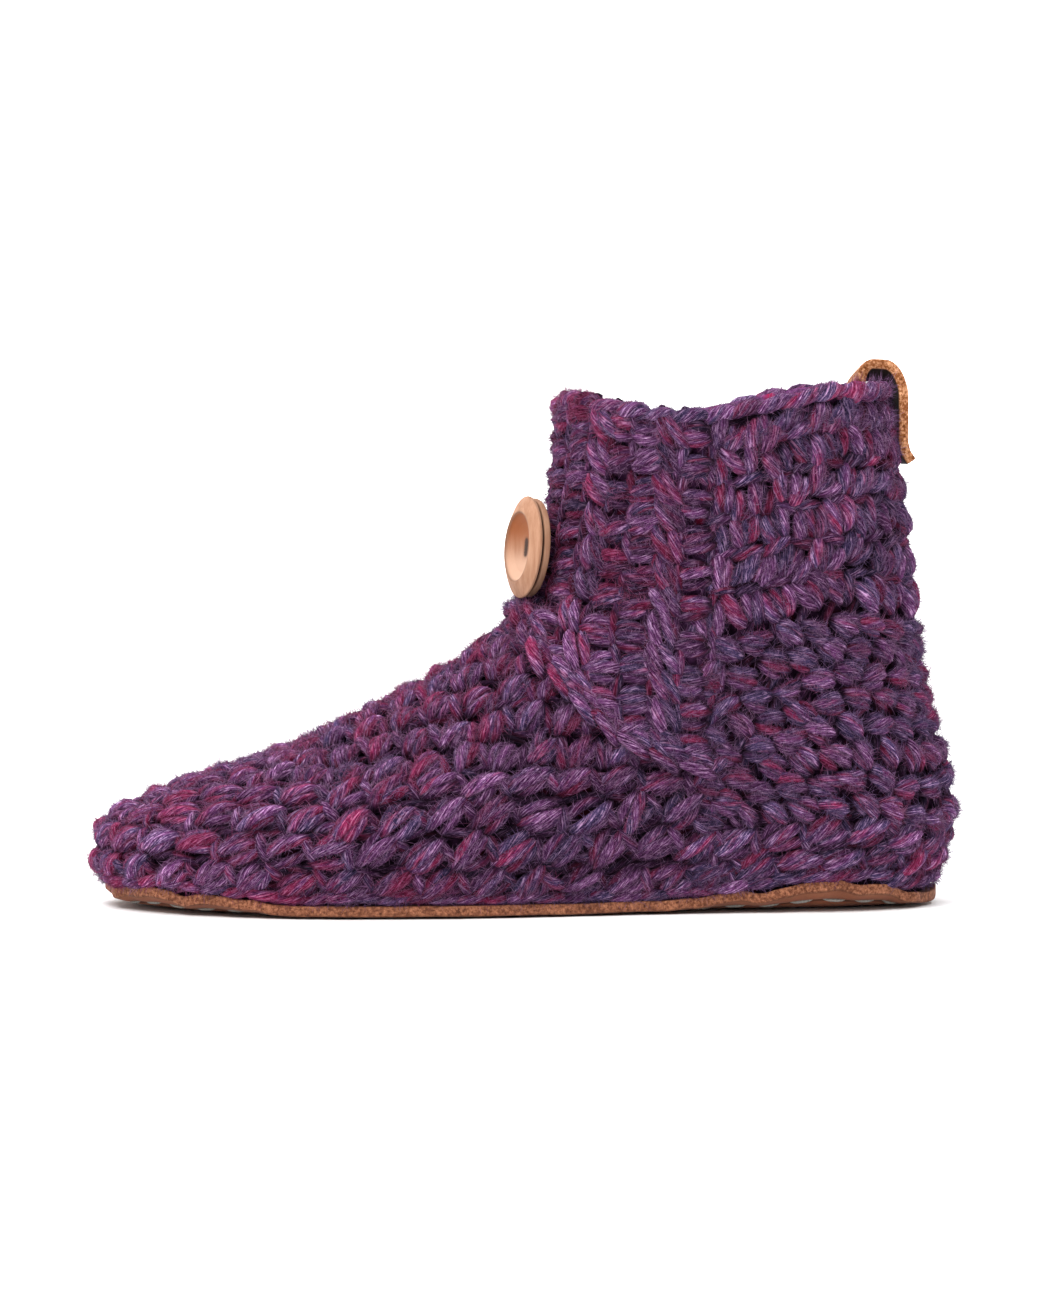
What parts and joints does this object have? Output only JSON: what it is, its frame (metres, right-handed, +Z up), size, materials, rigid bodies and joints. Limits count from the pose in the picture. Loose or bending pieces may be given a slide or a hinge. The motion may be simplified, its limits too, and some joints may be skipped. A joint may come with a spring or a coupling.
{
  "type": "slipper boot",
  "caption": "Ankle-high crocheted wool slipper boot with a leather sole, a ribbed front flap under a dished wooden button, and a leather pull loop at the heel",
  "frame": {"origin": "middle of the bounding box in X and Y, on the floor under the sole", "axes": "+Z up, toe to -X and heel to +X, outer side of the foot to -Y and inner side to +Y"},
  "size_m": [0.2586, 0.0989, 0.1635],
  "materials": {
    "sole_leather": "matt suede",
    "insole_felt": "felt",
    "wool": "heather wool crochet",
    "band_wool": "heather wool crochet",
    "button_wood": "satin",
    "loop_leather": "matt suede"
  },
  "bodies": {
    "root": {"outsole": "sole_leather", "insole": "insole_felt", "upper": "wool", "button_flap": "band_wool", "button": "button_wood", "pull_loop": "loop_leather"}
  },
  "joints": []
}
